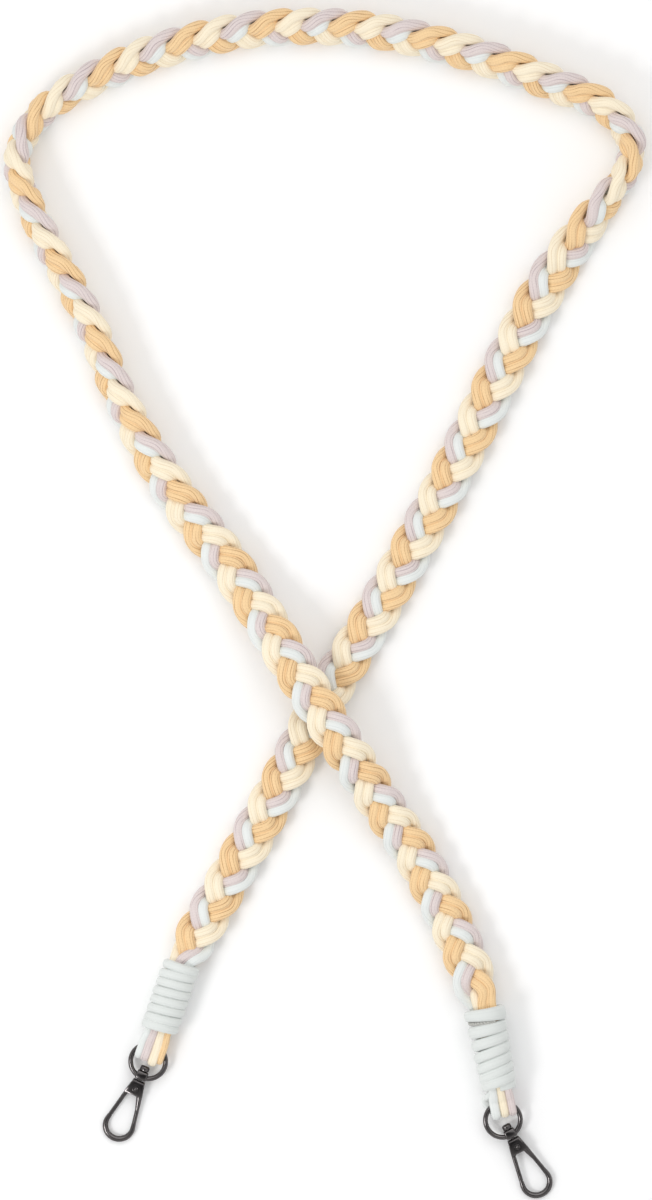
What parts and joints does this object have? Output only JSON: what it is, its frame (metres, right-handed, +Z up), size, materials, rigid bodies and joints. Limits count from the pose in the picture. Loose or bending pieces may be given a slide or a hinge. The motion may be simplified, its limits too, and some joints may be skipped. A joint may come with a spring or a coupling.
{
  "type": "phone crossbody strap",
  "caption": "Braided cord crossbody strap lying in one loop with crossed ends, each bound by a wound whipping and ending in a ring with a swivel snap hook.",
  "frame": {"origin": "on the floor under the middle of the strap's outline", "axes": "+Z up, +Y towards the loop's round end and away from the hooks, +X to the right as seen from above"},
  "size_m": [0.2468, 0.458, 0.023],
  "materials": {
    "tan_cord": "tan woven cord, matt",
    "cream_cord": "cream woven cord, matt",
    "mauve_cord": "mauve grey woven cord, matt",
    "white_cord": "pale mint white woven cord, matt",
    "gunmetal": "dark gunmetal plating, polished"
  },
  "bodies": {
    "strap": {"braid_strand_tan": "tan_cord", "braid_strand_cream": "cream_cord", "braid_strand_mauve_white": "mauve_cord", "whipping_left": "white_cord", "cord_loop_left_white": "white_cord", "cord_loop_left_mauve": "mauve_cord", "cord_loop_left_cream": "cream_cord", "cord_loop_left_tan": "tan_cord", "ring_left": "gunmetal", "whipping_right": "white_cord", "cord_loop_right_white": "white_cord", "cord_loop_right_cream": "cream_cord", "cord_loop_right_mauve": "mauve_cord", "ring_right": "gunmetal"},
    "hook_left": {"hook_left": "gunmetal"},
    "gate_left": {"gate_left": "gunmetal"},
    "hook_right": {"hook_right": "gunmetal"},
    "gate_right": {"gate_right": "gunmetal"}
  },
  "joints": [
    {"name": "swivel_left", "type": "hinge", "parent": "strap", "child": "hook_left", "pos_m": [-0.07031, -0.18157, 0.00346], "axis": [-0.4114, -0.9069, -0.0906], "continuous": true},
    {"name": "gate_left_hinge", "type": "hinge", "parent": "hook_left", "child": "gate_left", "pos_m": [-0.07266, -0.18674, 0.00294], "axis": [-0.0374, -0.0825, 0.9959], "range_deg": [0, 28], "stiffness_Nm_per_rad": 0.03, "springref_deg": -11.46},
    {"name": "swivel_right", "type": "hinge", "parent": "strap", "child": "hook_right", "pos_m": [0.07171, -0.20396, 0.00346], "axis": [0.4691, -0.8785, -0.0906], "continuous": true},
    {"name": "gate_right_hinge", "type": "hinge", "parent": "hook_right", "child": "gate_right", "pos_m": [0.07438, -0.20897, 0.00294], "axis": [0.0427, -0.0799, 0.9959], "range_deg": [0, 28], "stiffness_Nm_per_rad": 0.03, "springref_deg": -11.46}
  ]
}
